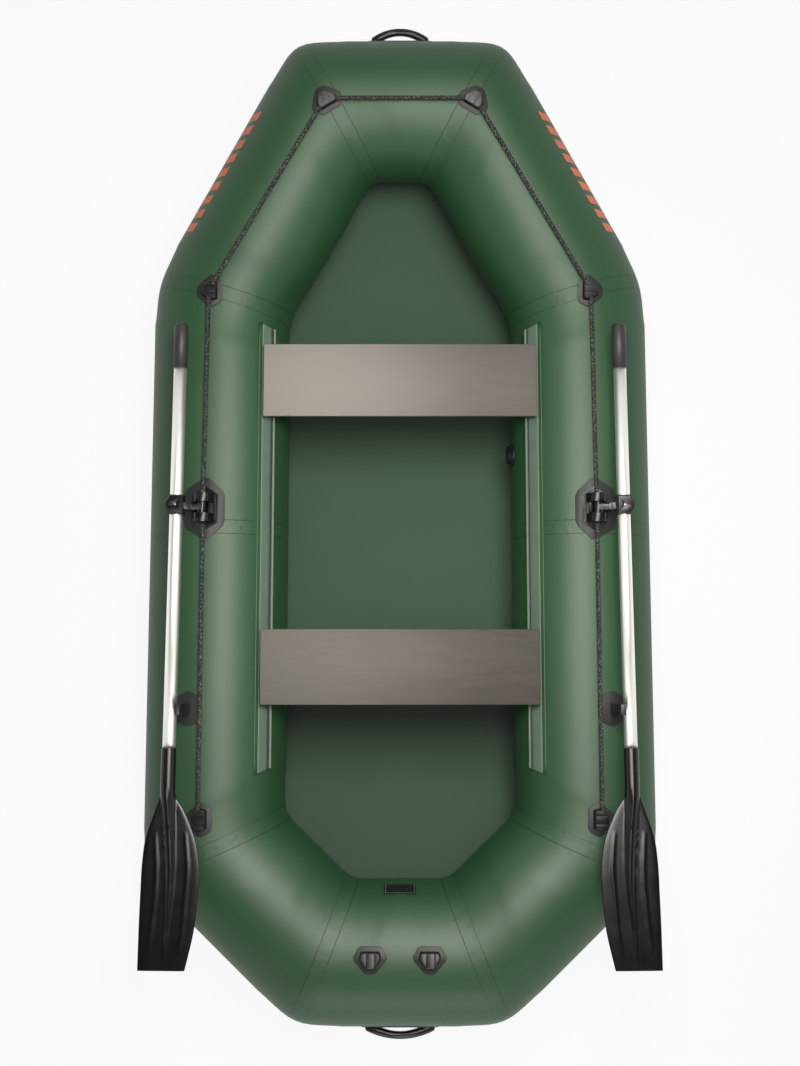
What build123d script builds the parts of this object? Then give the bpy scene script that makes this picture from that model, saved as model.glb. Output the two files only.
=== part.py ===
from build123d import *
from math import atan2, cos, degrees, hypot, radians, sin, sqrt, tan
import os

# Inflatable rowing boat, in millimetres: +Y to the bow, +X to starboard, +Z up.
# The origin lies on the ground under the middle of the boat. One closed ring of
# fabric tube, mitred at eight corners, stands on a bottom sheet. Two plywood seats
# slide in rails, and two oars turn in hinged oarlocks. Pieces that come in pairs
# are made for the starboard side and mirrored.

# ---------------------------------------------------------------- hull tubes
hull_length = 2600        # over the tubes, without the handles
hull_beam = 1340
tube_radius = 184
bow_flat = 360            # between the two bow corners of the tube's axis
bow_taper = 502           # fore-and-aft run of a bow quarter
bow_rise = 100            # height that the axis gains along a bow quarter
stern_flat = 400
stern_taper = 274
baffle_y = -25            # seam where the inner baffle divides each side tube

# ---------------------------------------------------------------- bottom sheet
sheet_thickness = 2
sheet_lap = 25            # past the line where the tube touches the sheet

# ---------------------------------------------------------------- glued fittings
glue_gap = 0.3            # film of glue under a patch
patch_thickness = 2.5
running_gap = 0.3         # faces that turn or slide on each other
pin_gap = 0.1             # radial clearance of a pin in its bore

# ---------------------------------------------------------------- seats and rails
rail_fore_inset = 95      # from the shoulder corner to the rail's fore end
rail_aft_inset = 192      # from the stern quarter's corner to its aft end
rail_lean = 52            # degrees from the crown of the tube to the rail's channel
rail_flange = 2
rail_flange_span = 13     # degrees
rail_flange_start = 3     # degrees of flange outside the channel
channel_radius = 6.5
channel_bore = 4
channel_slot = 3.2
seat_overhang = 21.35     # past the rail's channel
seat_width = 192
seat_thickness = 12
seat_gap = 5.2            # between the seat's end and the rail's flange
seat_ease = 2
bow_seat_inset = 155      # from the rail's fore end to the middle of the seat
stern_seat_inset = 268    # from its aft end
runner_foot = 20
runner_foot_thickness = 3
runner_web = 2
runner_inset = 10         # the runner stops short of the seat's edges

# ---------------------------------------------------------------- oarlocks
# Six-sided outlines: greatest length, flat inboard, flat outboard, depth, cut at each corner.
lock_patch_size = (168, 80, 96, 105, 8)
lock_base_size = (118, 66, 50, 59, 5)
lock_y = 21
lock_lean = 4.9           # degrees outboard of the crown
barrel_lift = 22          # barrel axis above the tube's surface
barrel_radius = 11
barrel_length = 29
knuckle_radius = 15
knuckle_length = 22
knuckle_foot = 41
lock_pin_radius = 4
lock_plate = 3.5
stop_gap = 4              # from the barrel to the stop that stands inboard of it
stop_thickness = 6
stop_length = 26
stop_height = 17
eye_offset = 32           # sweep pin outboard of the barrel axis
eye_lift = 6              # middle of the eye above the barrel axis
eye_radius = 9
eye_thickness = 10
arm_width = 14
sweep_pin_radius = 3
pin_head_radius = 5.5
pin_head = 3

# ---------------------------------------------------------------- oars
shaft_radius = 16
shaft_offset = 26         # shaft axis outboard of the sweep pin
shaft_lift = 41           # shaft axis above the barrel axis
oar_yaw = 0.55            # degrees that the stowed oar points outboard aft
grip_end = 466            # forward of the sweep pin
grip_length = 115
grip_wall = 1.5
grip_cap = 10             # closed end of the grip
grip_ease = 6
collar_y = -602           # forward edge of the blade's socket
socket_length = 96
socket_wall = 2
blade_length = 530        # with its socket
blade_thickness = 5
blade_shoulder = 108      # aft of the collar, where the plate starts to widen
blade_widest = 300        # aft of the collar
blade_inboard = 82        # widest, from the shaft's axis
blade_outboard = 60
tip_inboard = 53
tip_outboard = 61
tip_slant = 9             # the tip's outboard corner lies this much further forward
tip_corner = 8
spine_end = 515           # aft of the collar
spine_start = 0.85        # of the socket's radius
spine_shift = 14          # inboard of the shaft's axis where the blade is widest
spine_half_width = 14
spine_half_height = 9
spine_ridge = 0.6         # share of the half-width outboard of the spine's middle
spine_slope = 0.2         # share inboard
rib_width = 4
rib_height = 1.2
clamp_length = 49
clamp_inner = 3           # wall inboard of the shaft
clamp_outer = 10          # wall outboard of the shaft
clamp_wall = 4            # wall above and below the shaft
clamp_ease = 4
lug_height = 10
lug_web = 12              # height of the web between the lug and the block
screw_recess_radius = 4
screw_recess_depth = 3

# ---------------------------------------------------------------- oar holders
holder_patch_size = (91, 60, 50, 78, 6)
holder_y = -487
holder_length = 26
holder_thickness = 6
holder_gap = 5.3          # between the post and the stowed shaft
holder_flare = 2          # the post's foot is wider than its top by this
clip_lift = 12            # foot of the clip above the shaft's axis
clip_overlap = 3          # how far the clip curls over the shaft

# ---------------------------------------------------------------- lifeline
fitting_patch_size = (88, 56, 25, 66, 5)
fitting_cap_size = (58, 48, 22, 43, 3)
fitting_height = 16
fitting_draft = 12        # degrees
fitting_ease = 2
groove_width = 1.6
groove_depth = 1.5
rope_radius = 4
rope_gap = 0.5            # round the rope where it enters a fitting
rope_entry = 12           # how far it reaches in
bow_fitting_shift = 14    # aft of the corner along the crease
side_fitting_back = 20    # aft of the shoulder corner
side_fitting_lean = 3.3
aft_fitting_ahead = 82    # forward of the stern quarter's corner
stern_fitting_x = 73.5
stern_fitting_lean = 5

# ---------------------------------------------------------------- handles and valves
handle_reach = 36         # past the tubes
handle_thickness = 20
handle_ease = 4
handle_corner = 8
handle_shoulder = 14      # where the crescent's ends stand off the tube
bow_handle_width = 154
bow_slot_width = 100
stern_handle_width = 180
stern_slot_width = 104
grip_bar = 17             # depth of the bar past the slot, at the middle
slot_rise = 8             # the slot's ends lie this far off the tube
handle_patch_height = 70
handle_patch_border = 10
handle_patch_corner = 12
valve_y = 186
second_valve_y = -430
valve_lean = 84
valve_radius = 32
valve_flange = 3
valve_cap_radius = 25
valve_height = 14
valve_skirt = 8           # reaches back to the tube's curved wall

# ---------------------------------------------------------------- worked out
axis_z = sheet_thickness + tube_radius
axis_x = hull_beam / 2 - tube_radius
bow_y = hull_length / 2 - tube_radius
shoulder_y = bow_y - bow_taper
quarter_y = stern_taper - bow_y
bow_slope = degrees(atan2(bow_rise, bow_taper))
patch_root = tube_radius + glue_gap
patch_face = patch_root + patch_thickness
rope_lift = patch_face + lock_plate + running_gap + rope_radius
foot_depth = tube_radius / 9     # how far a moulding is carried down before it is cut to the tube

# Corners of the tube's axis, from the starboard bow aft and round to the port bow,
# and the runs of tube that start at each.
ring = [
    Vector(bow_flat / 2, bow_y, axis_z + bow_rise),
    Vector(axis_x, shoulder_y, axis_z),
    Vector(axis_x, quarter_y, axis_z),
    Vector(stern_flat / 2, -bow_y, axis_z),
    Vector(-stern_flat / 2, -bow_y, axis_z),
    Vector(-axis_x, quarter_y, axis_z),
    Vector(-axis_x, shoulder_y, axis_z),
    Vector(-bow_flat / 2, bow_y, axis_z + bow_rise),
]
runs = [
    "bow_quarter_starboard", "side_starboard", "stern_quarter_starboard", "stern_tube",
    "stern_quarter_port", "side_port", "bow_quarter_port", "bow_tube",
]

# The bow part of the ring lies in a plane that climbs towards the bow.
bow_up = Vector(0, -sin(radians(bow_slope)), cos(radians(bow_slope)))

os.makedirs("parts", exist_ok=True)


def save(piece, name):
    """Label a finished piece and write its STEP file."""
    piece.part.label = name
    export_step(piece.part, f"parts/{name}.step")


def save_pair(piece, name):
    """Write a starboard piece, and the port one as its mirror image."""
    save(piece, f"{name}_starboard")
    with BuildPart() as port:
        mirror(piece.part, about=Plane.YZ)
    save(port, f"{name}_port")


def mitre(corner):
    """Plane that halves the ring's turn at a corner, facing on round the ring."""
    here = ring[corner % len(ring)]
    coming = (here - ring[corner % len(ring) - 1]).normalized()
    going = (ring[(corner + 1) % len(ring)] - here).normalized()
    return Plane(origin=here, z_dir=coming + going)


def tube_run(name, radius):
    """Straight run of tube from one corner of the ring to the next, cut at both mitres."""
    corner = runs.index(name)
    start = ring[corner]
    along = ring[(corner + 1) % len(ring)] - start
    seam_side = along.cross(along.cross(Vector(0, 0, 1)))
    with BuildPart() as tube:
        with BuildSketch(Plane(
            origin=start - along.normalized() * radius, x_dir=seam_side, z_dir=along,
        )):
            Circle(radius)
        extrude(amount=along.length + 2 * radius)
        split(bisect_by=mitre(corner), keep=Keep.TOP)
        split(bisect_by=mitre(corner + 1), keep=Keep.BOTTOM)
    return tube


# What a patch is glued over, and what a moulding on that patch stands on.
glue_cores = {name: tube_run(name, patch_root).part for name in runs}
patch_cores = {name: tube_run(name, patch_face).part for name in runs}


def tube_seat(y, lean, radius=tube_radius):
    """Plane on the starboard side tube: local z out of the tube, x forward, y inboard."""
    out = Vector(sin(radians(lean)), 0, cos(radians(lean)))
    return Plane(origin=Vector(axis_x, y, axis_z) + out * radius, x_dir=(0, 1, 0), z_dir=out)


def six_sided(plane, size):
    """Outline with a flat side inboard (+y) that tapers to another flat outboard.

    It is longest a little inboard of its middle.
    """
    length, inner, outer, depth, corner = size
    waist = depth * 0.07
    with BuildSketch(plane) as outline:
        with BuildLine():
            Polyline(
                (inner / 2, depth / 2), (-inner / 2, depth / 2), (-length / 2, waist),
                (-outer / 2, -depth / 2), (outer / 2, -depth / 2), (length / 2, waist),
                close=True,
            )
        make_face()
        chamfer(outline.vertices(), corner)
    return outline.sketch


def glued_patch(plane, outline, names):
    """Flexible patch of one outline, bent over the tube runs that it is glued to."""
    depth = patch_face - sqrt(patch_face**2 - (tube_radius / 2) ** 2)
    with BuildPart() as patch:
        for name in names:
            add(patch_cores[name])
        for name in names:
            add(glue_cores[name], mode=Mode.SUBTRACT)
        extrude(outline, amount=2 * depth, both=True, mode=Mode.INTERSECT)
    return patch


# Hull: eight straight runs of tube, the two side tubes divided at the baffle.
for run_name in runs:
    whole = tube_run(run_name, tube_radius)
    if not run_name.startswith("side"):
        save(whole, run_name)
        continue
    for end_name, kept in (("fore", Keep.TOP), ("aft", Keep.BOTTOM)):
        with BuildPart() as chamber:
            add(whole.part)
            split(bisect_by=Plane(origin=(0, baffle_y, 0), z_dir=(0, 1, 0)), keep=kept)
        save(chamber, f"{run_name}_{end_name}")

# Bottom sheet: a level panel, and a bow panel that climbs under the bow quarters.
# They meet at the bend, on the plane that halves the change of slope.
half_slope = radians(bow_slope / 2)
bend = Plane(origin=(0, shoulder_y, axis_z), z_dir=(0, cos(half_slope), sin(half_slope)))
bend_run = tube_radius * tan(half_slope)
with BuildPart() as bottom_sheet:
    with BuildSketch(Plane.XY):
        with BuildLine():
            Polyline(
                (axis_x, shoulder_y + bend_run), (axis_x, quarter_y), (stern_flat / 2, -bow_y),
                (-stern_flat / 2, -bow_y), (-axis_x, quarter_y), (-axis_x, shoulder_y + bend_run),
                close=True,
            )
        make_face()
        offset(amount=sheet_lap)
    extrude(amount=sheet_thickness)
    split(bisect_by=bend, keep=Keep.BOTTOM)
save(bottom_sheet, "bottom_sheet")

bow_plane = Plane(origin=(0, shoulder_y, axis_z), x_dir=(1, 0, 0), z_dir=bow_up)
with BuildPart() as bow_sheet:
    with BuildSketch(bow_plane.offset(-axis_z)):
        with BuildLine():
            Polyline(
                (axis_x, -bend_run), (bow_flat / 2, hypot(bow_taper, bow_rise)),
                (-bow_flat / 2, hypot(bow_taper, bow_rise)), (-axis_x, -bend_run),
                close=True,
            )
        make_face()
        offset(amount=sheet_lap)
    extrude(amount=sheet_thickness)
    split(bisect_by=bend, keep=Keep.TOP)
save(bow_sheet, "bow_sheet")

# Seat rail: an extruded strip glued to the inner side of the side tube, with a
# keyhole channel that opens upwards for the seat's runner bead.
rail_fore = shoulder_y - rail_fore_inset
rail_aft = quarter_y + rail_aft_inset
channel_lift = tube_radius + glue_gap + channel_radius
channel_x = axis_x - channel_lift * sin(radians(rail_lean))
channel_z = axis_z + channel_lift * cos(radians(rail_lean))
flange_face = patch_root + rail_flange
with BuildPart() as seat_rail:
    with BuildSketch(Plane.XZ.offset(-rail_fore)):
        with BuildLine():
            flange_from = 90 + rail_lean + rail_flange_start
            face = CenterArc((axis_x, axis_z), flange_face, flange_from, -rail_flange_span)
            root = CenterArc((axis_x, axis_z), patch_root, flange_from, -rail_flange_span)
            Line(face @ 0, root @ 0)
            Line(face @ 1, root @ 1)
        make_face()
        with Locations((channel_x, channel_z)):
            Circle(channel_radius)
            Circle(channel_bore, mode=Mode.SUBTRACT)
            Rectangle(
                channel_slot, 2 * channel_radius,
                align=(Align.CENTER, Align.MIN), mode=Mode.SUBTRACT,
            )
    extrude(amount=rail_fore - rail_aft)
save_pair(seat_rail, "seat_rail")

# Seats: a plywood plank with eased edges, and under each end a runner whose bead
# slides in the rail's channel. The plank's end clears the rail's flange.
seat_half = channel_x + seat_overhang
seat_z = axis_z + sqrt((flange_face + seat_gap) ** 2 - (axis_x - seat_half) ** 2)
for seat_name, seat_y in (
    ("bow_seat", rail_fore - bow_seat_inset),
    ("stern_seat", rail_aft + stern_seat_inset),
):
    with BuildPart() as plank:
        with BuildSketch(Plane.XY.offset(seat_z)):
            with Locations((0, seat_y)):
                Rectangle(2 * seat_half, seat_width)
        extrude(amount=seat_thickness)
        chamfer(plank.faces().sort_by(Axis.Z)[-1].edges(), seat_ease)
        chamfer(plank.faces().sort_by(Axis.Z)[0].edges(), seat_ease)
    save(plank, seat_name)

    with BuildPart() as runners:
        with BuildSketch(Plane.XZ.offset(-seat_y - seat_width / 2 + runner_inset)):
            with Locations((channel_x, channel_z)):
                Circle(channel_bore - running_gap)
                Rectangle(runner_web, seat_z - channel_z, align=(Align.CENTER, Align.MIN))
            with Locations((channel_x, seat_z)):
                Rectangle(runner_foot, runner_foot_thickness, align=(Align.CENTER, Align.MAX))
        extrude(amount=seat_width - 2 * runner_inset)
        mirror(about=Plane.YZ)
    save(runners, f"{seat_name}_runners")

# Oarlock: a patch glued on the side tube and a moulded body with two knuckles and
# the hinge pin between them, which lies fore and aft. A low stop inboard of the
# barrel ends the swing, and the rope passes through both knuckles' feet.
lock_seat = tube_seat(lock_y, lock_lean, patch_face)
barrel_x = axis_x + (tube_radius + barrel_lift) * sin(radians(lock_lean))
barrel_z = axis_z + (tube_radius + barrel_lift) * cos(radians(lock_lean))
barrel_rise = tube_radius + barrel_lift - patch_face
knuckle_gap = barrel_length / 2 + running_gap
lock_end = knuckle_gap + knuckle_length
side_core = patch_cores["side_starboard"]
save_pair(
    glued_patch(lock_seat, six_sided(lock_seat, lock_patch_size), ["side_starboard"]),
    "oarlock_patch",
)

with BuildPart() as lock_body:
    extrude(six_sided(lock_seat, lock_base_size), amount=lock_plate, both=True)
    for end in (-1, 1):
        with BuildSketch(Plane(
            origin=lock_seat.from_local_coords((end * knuckle_gap, 0, 0)),
            x_dir=lock_seat.y_dir, z_dir=lock_seat.x_dir * end,
        )):
            with BuildLine():
                foot = knuckle_foot / 2
                cap = CenterArc((0, end * barrel_rise), knuckle_radius, 0, 180 * end)
                Polyline(cap @ 1, (-foot, 0), (foot, 0), cap @ 0)
            make_face()
        extrude(amount=knuckle_length)
    with BuildSketch(lock_seat):
        with Locations((0, barrel_radius + stop_gap + stop_thickness / 2)):
            Rectangle(stop_length, stop_thickness)
    extrude(amount=stop_height)
    add(side_core, mode=Mode.SUBTRACT)
    with BuildSketch(Plane(
        origin=lock_seat.from_local_coords((-knuckle_gap, 0, barrel_rise)),
        z_dir=lock_seat.x_dir,
    )):
        Circle(lock_pin_radius)
    extrude(amount=2 * knuckle_gap)
    for end in (-1, 1):
        with BuildSketch(Plane(
            origin=lock_seat.from_local_coords((end * lock_end, 0, rope_lift - patch_face)),
            z_dir=lock_seat.x_dir * -end,
        )):
            Circle(rope_radius + rope_gap)
        extrude(amount=rope_entry, mode=Mode.SUBTRACT)
save_pair(lock_body, "oarlock_body")

# Oarlock arm: a barrel on the hinge pin, and an arm out to the eye of the sweep pin.
with BuildPart() as lock_arm:
    with BuildSketch(Plane.XZ.offset(-lock_y - barrel_length / 2)):
        with Locations((barrel_x, barrel_z)):
            Circle(barrel_radius)
    extrude(amount=barrel_length)
    with BuildSketch(Plane.XY.offset(barrel_z + eye_lift - eye_thickness / 2)):
        with Locations((barrel_x + eye_offset, lock_y)):
            Circle(eye_radius)
        with Locations((barrel_x, lock_y)):
            Rectangle(eye_offset, arm_width, align=(Align.MIN, Align.CENTER))
    extrude(amount=eye_thickness)
    with Locations(Plane(origin=(barrel_x, lock_y, barrel_z), z_dir=(0, 1, 0))):
        Hole(lock_pin_radius + pin_gap)
    with Locations((barrel_x + eye_offset, lock_y, barrel_z + eye_lift)):
        Hole(sweep_pin_radius + pin_gap)
save_pair(lock_arm, "oarlock_arm")

# Oar frame: origin on the sweep pin at the shaft's height, x outboard, y forward.
yaw = radians(oar_yaw)
pin_x = barrel_x + eye_offset
shaft_z = barrel_z + shaft_lift
oar = Plane(origin=(pin_x, lock_y, shaft_z), x_dir=(cos(yaw), sin(yaw), 0), z_dir=(0, 0, 1))


def across_oar(y, x=shaft_offset):
    """Plane square to the oar's shaft: local z aft, x outboard, y up."""
    return Plane(origin=oar.from_local_coords((x, y, 0)), x_dir=oar.x_dir, z_dir=-oar.y_dir)


# Clamp: an eight-sided block round the shaft, with a lug that turns on the arm's
# eye and carries the sweep pin. A screw in a recess on top pinches the shaft.
clamp_bore = shaft_radius + running_gap
clamp_half = clamp_bore + clamp_wall
lug_bottom = eye_lift + eye_thickness / 2 + running_gap - shaft_lift
head_top = lug_bottom - eye_thickness - 2 * running_gap
with BuildPart() as clamp:
    with BuildSketch(oar.offset(-clamp_half)):
        with BuildLine():
            inner = shaft_offset - clamp_bore - clamp_inner
            outer = shaft_offset + clamp_bore + clamp_outer
            cut = clamp_length / 4
            Polyline(
                (inner, -clamp_length / 2), (outer - cut, -clamp_length / 2),
                (outer, -cut / 2), (outer, cut / 2), (outer - cut, clamp_length / 2),
                (inner, clamp_length / 2),
                close=True,
            )
        make_face()
    extrude(amount=2 * clamp_half)
    chamfer(clamp.faces().sort_by(Axis.Z)[-1].edges(), clamp_ease)
    with BuildSketch(oar.offset(lug_bottom)):
        Circle(eye_radius)
    extrude(amount=lug_height)
    with BuildSketch(oar.offset(running_gap - clamp_half)):
        Rectangle(shaft_offset, 2 * (eye_radius - 1), align=(Align.MIN, Align.CENTER))
    extrude(amount=lug_web)
    with BuildSketch(across_oar(clamp_length)):
        Circle(clamp_bore)
    extrude(amount=2 * clamp_length, mode=Mode.SUBTRACT)
    with BuildSketch(oar.offset(clamp_half)):
        with Locations((shaft_offset, 0)):
            Circle(screw_recess_radius)
    extrude(amount=-screw_recess_depth, mode=Mode.SUBTRACT)
    with BuildSketch(oar.offset(lug_bottom)):
        Circle(sweep_pin_radius)
    extrude(amount=head_top - lug_bottom)
    with BuildSketch(oar.offset(head_top)):
        Circle(pin_head_radius)
    extrude(amount=-pin_head)
save_pair(clamp, "oar_clamp")

# Shaft, grip and blade of the oar.
with BuildPart() as shaft:
    shaft_fore = grip_end - grip_cap - running_gap
    shaft_aft = collar_y - socket_length
    with BuildSketch(across_oar(shaft_fore)):
        Circle(shaft_radius)
    extrude(amount=shaft_fore - shaft_aft)
save_pair(shaft, "oar_shaft")

with BuildPart() as grip:
    with BuildSketch(across_oar(grip_end)):
        Circle(shaft_radius + running_gap + grip_wall)
    extrude(amount=grip_length)
    chamfer(grip.edges().sort_by(Axis.Y)[-1], grip_ease)
    with BuildSketch(across_oar(grip_end - grip_cap)):
        Circle(shaft_radius + running_gap)
    extrude(amount=grip_length, mode=Mode.SUBTRACT)
save_pair(grip, "oar_grip")

# Blade: a thin plate, fuller on its inboard side, with a spine that grows out of the
# socket and fades towards the tip, and a long low rib on each side of the spine.
socket_radius = shaft_radius + running_gap + socket_wall
tip_y = collar_y - blade_length
widest_y = collar_y - blade_widest
neck = socket_radius - 1
with BuildPart() as blade:
    with BuildSketch(oar.offset(-blade_thickness / 2)) as outline:
        with BuildLine():
            outer_edge = Spline(
                (shaft_offset + neck, collar_y - blade_shoulder),
                (shaft_offset + blade_outboard - 2, widest_y),
                (shaft_offset + tip_outboard, tip_y + tip_slant),
                tangents=((0.35, -1), (0, -1)),
            )
            inner_edge = Spline(
                (shaft_offset - neck, collar_y - blade_shoulder),
                (shaft_offset - blade_inboard, widest_y),
                (shaft_offset - tip_inboard, tip_y),
                tangents=((-0.8, -1), (0.26, -1)),
            )
            Line(outer_edge @ 1, inner_edge @ 1)
            Line(outer_edge @ 0, inner_edge @ 0)
        make_face()
        fillet(outline.vertices().group_by(Axis.Y)[0], tip_corner)
    extrude(amount=blade_thickness)
    for rib_bend, rib_middle, rib_tip in (
        (blade_outboard * 0.45, blade_outboard * 0.35, blade_outboard * 0.6),
        (-blade_inboard * 0.56, -blade_inboard * 0.65, -blade_inboard * 0.45),
    ):
        with BuildSketch(oar.offset(-blade_thickness / 2 - rib_height)):
            with BuildLine() as rib_line:
                ThreePointArc(
                    (shaft_offset + rib_bend, collar_y - blade_widest * 0.68),
                    (shaft_offset + rib_middle, widest_y),
                    (shaft_offset + rib_tip, tip_y + (blade_length - spine_end) * 2),
                )
            trace(rib_line.line, rib_width)
        extrude(amount=blade_thickness + 2 * rib_height)
    for across, along, half_width, half_height in (
        (0, socket_length, socket_radius * spine_start, socket_radius * spine_start),
        (-spine_shift, blade_widest, spine_half_width, spine_half_height),
        (0, spine_end, blade_thickness / 2, blade_thickness / 2 + rib_height),
    ):
        # Steep on the outboard side, where the ridge runs, and sloping inboard.
        with BuildSketch(across_oar(collar_y - along, shaft_offset + across)):
            ridge = half_width * spine_ridge
            slope = half_width * spine_slope
            Polygon(
                (half_width, 0), (ridge, half_height), (-slope, half_height),
                (-half_width, 0), (-slope, -half_height), (ridge, -half_height),
                align=None,
            )
    loft(ruled=True)
    with BuildSketch(across_oar(collar_y)):
        Circle(socket_radius)
    extrude(amount=socket_length + socket_wall)
    with BuildSketch(across_oar(collar_y)):
        Circle(shaft_radius + running_gap)
    extrude(amount=socket_length + running_gap, mode=Mode.SUBTRACT)
save_pair(blade, "oar_blade")

# Oar holder: a patch on the side tube and a post that stands inboard of the shaft,
# with a clip on top that curls over the shaft's edge.
stowed = across_oar(holder_y - lock_y).origin
shaft_edge = stowed.X - shaft_radius
post_out = shaft_edge - holder_gap
post_in = post_out - holder_thickness
holder_lean = degrees(atan2((post_out + post_in) / 2 - axis_x, tube_radius))
holder_seat = tube_seat(holder_y, holder_lean, patch_face)
save_pair(
    glued_patch(holder_seat, six_sided(holder_seat, holder_patch_size), ["side_starboard"]),
    "holder_patch",
)

clip_foot = shaft_z + clip_lift
with BuildPart() as holder_post:
    with BuildSketch(Plane.XZ.offset(-holder_y - holder_length / 2)):
        post_foot = holder_seat.origin.Z - foot_depth
        with BuildLine():
            Polyline(
                (post_in - holder_length / 2, post_foot), (post_out + holder_flare, post_foot),
                (post_out, post_foot + holder_length), (post_out, clip_foot), (post_in, clip_foot),
                close=True,
            )
        make_face()
    extrude(amount=holder_length)
    add(side_core, mode=Mode.SUBTRACT)
save_pair(holder_post, "holder_post")

with BuildPart() as holder_clip:
    with BuildSketch(Plane.XZ.offset(-holder_y - holder_length / 2)):
        with BuildLine():
            Polyline(
                (post_in, clip_foot), (post_out, clip_foot),
                (shaft_edge + clip_overlap, clip_foot + holder_gap),
                (shaft_edge + clip_overlap, clip_foot + holder_gap + holder_flare),
                (post_in + holder_flare, clip_foot + holder_gap + holder_flare),
                close=True,
            )
        make_face()
    extrude(amount=holder_length)
save_pair(holder_clip, "holder_clip")

# Lifeline: its fittings stand on the crown of the ring, and the rope runs straight
# from one to the next, through the oarlock bodies.
crease = ((ring[1] - ring[0]).normalized() + Vector(1, 0, 0)).normalized()
bow_fitting = Plane(
    origin=ring[0] + bow_up * tube_radius + crease * bow_fitting_shift,
    x_dir=-crease, z_dir=bow_up,
)
side_fitting = tube_seat(shoulder_y - side_fitting_back, side_fitting_lean)
aft_fitting = tube_seat(quarter_y + aft_fitting_ahead, lock_lean)
stern_out = Vector(0, sin(radians(stern_fitting_lean)), cos(radians(stern_fitting_lean)))
stern_fitting = Plane(
    origin=Vector(stern_fitting_x, -bow_y, axis_z) + stern_out * tube_radius,
    x_dir=(1, 0, 0), z_dir=stern_out,
)


def rope_point(plane):
    """Where the rope's axis crosses a fitting."""
    return plane.from_local_coords((0, 0, rope_lift - tube_radius))


lock_fore = lock_seat.from_local_coords((lock_end, 0, rope_lift - patch_face))
lock_aft = lock_seat.from_local_coords((-lock_end, 0, rope_lift - patch_face))
bow_point = rope_point(bow_fitting)
inside = fitting_cap_size[0] / 2
rope_runs = [
    (Vector(-bow_point.X, bow_point.Y, bow_point.Z), inside, bow_point, inside),
    (bow_point, inside, rope_point(side_fitting), inside),
    (rope_point(side_fitting), inside, lock_fore, 0),
    (lock_aft, 0, rope_point(aft_fitting), inside),
]


def rope_run(run, entry, room=0):
    """Straight stretch of rope from one fitting to the next, let into both by entry.

    With room round it, it is the eight-sided socket that takes the rope.
    """
    start, start_inset, end, end_inset = run
    along = (end - start).normalized()
    first = start + along * (start_inset - entry)
    last = end - along * (end_inset - entry)
    with BuildPart() as rope:
        with BuildSketch(Plane(origin=first, z_dir=along)):
            if room:
                RegularPolygon(rope_radius + room, 8, major_radius=False)
            else:
                Circle(rope_radius)
        extrude(amount=(last - first).length)
    return rope


ropes = [rope_run(run, rope_entry - rope_gap) for run in rope_runs]
rope_sockets = [rope_run(run, rope_entry, rope_gap) for run in rope_runs]
save(ropes[0], "lifeline_bow")

with BuildPart() as lifeline_side:
    for rope in ropes[1:]:
        add(rope.part)
save_pair(lifeline_side, "lifeline")

# Each fitting: a patch, and a domed cap of three lobes that the rope passes through.
fittings = [
    (bow_fitting, ["bow_quarter_starboard", "bow_tube"]),
    (side_fitting, ["bow_quarter_starboard", "side_starboard"]),
    (aft_fitting, ["side_starboard"]),
    (stern_fitting, ["stern_tube"]),
]
patches = []
caps = []
for plane, names in fittings:
    patches.append(glued_patch(plane, six_sided(plane, fitting_patch_size), names))
    with BuildPart() as cap:
        extrude(six_sided(plane, fitting_cap_size), amount=fitting_height, taper=fitting_draft)
        chamfer(cap.faces().sort_by(Axis(plane.origin, plane.z_dir))[-1].edges(), fitting_ease)
        for groove in (-1, 1):
            with BuildSketch(plane.offset(fitting_height)):
                with Locations((groove * fitting_cap_size[0] / 6, 0)):
                    Rectangle(groove_width, 2 * fitting_cap_size[3])
            extrude(amount=-groove_depth, mode=Mode.SUBTRACT)
        for name in names:
            add(patch_cores[name], mode=Mode.SUBTRACT)
        for socket in rope_sockets:
            add(socket.part, mode=Mode.SUBTRACT)
    caps.append(cap)

with BuildPart() as fitting_patches:
    for patch in patches:
        add(patch.part)
    mirror(about=Plane.YZ)
save(fitting_patches, "rope_fitting_patches")

with BuildPart() as fitting_caps:
    for cap in caps:
        add(cap.part)
    mirror(about=Plane.YZ)
save(fitting_caps, "rope_fitting_caps")


# Carrying handles: a crescent moulding on a patch, at the bow and at the stern.
def handle_tip(slope):
    """Distance from the tube's axis to the handle's tip, for the same reach fore and aft."""
    flat_half = handle_thickness / 2 - handle_ease
    return (tube_radius + handle_reach - flat_half * sin(slope)) / cos(slope)


def handle_section(plane, slope, width, slot_width):
    """Outline of a crescent handle with its slot, in the plane through the tube's axis."""
    tip = handle_tip(slope)
    shoulder = tube_radius + handle_shoulder
    root = tube_radius - foot_depth
    with BuildSketch(plane) as outline:
        with BuildLine():
            outside = ThreePointArc((-width / 2, shoulder), (0, tip), (width / 2, shoulder))
            Polyline(outside @ 1, (width / 2, root), (-width / 2, root), outside @ 0)
        make_face()
        fillet(outline.vertices().group_by(Axis.Y)[-1], handle_corner)
        with BuildLine():
            slot_end = tube_radius + slot_rise
            half = slot_width / 2
            inside_bar = ThreePointArc((-half, slot_end), (0, tip - grip_bar), (half, slot_end))
            Polyline(inside_bar @ 1, (half, root), (-half, root), inside_bar @ 0)
        make_face(mode=Mode.SUBTRACT)
    return outline.sketch


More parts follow.
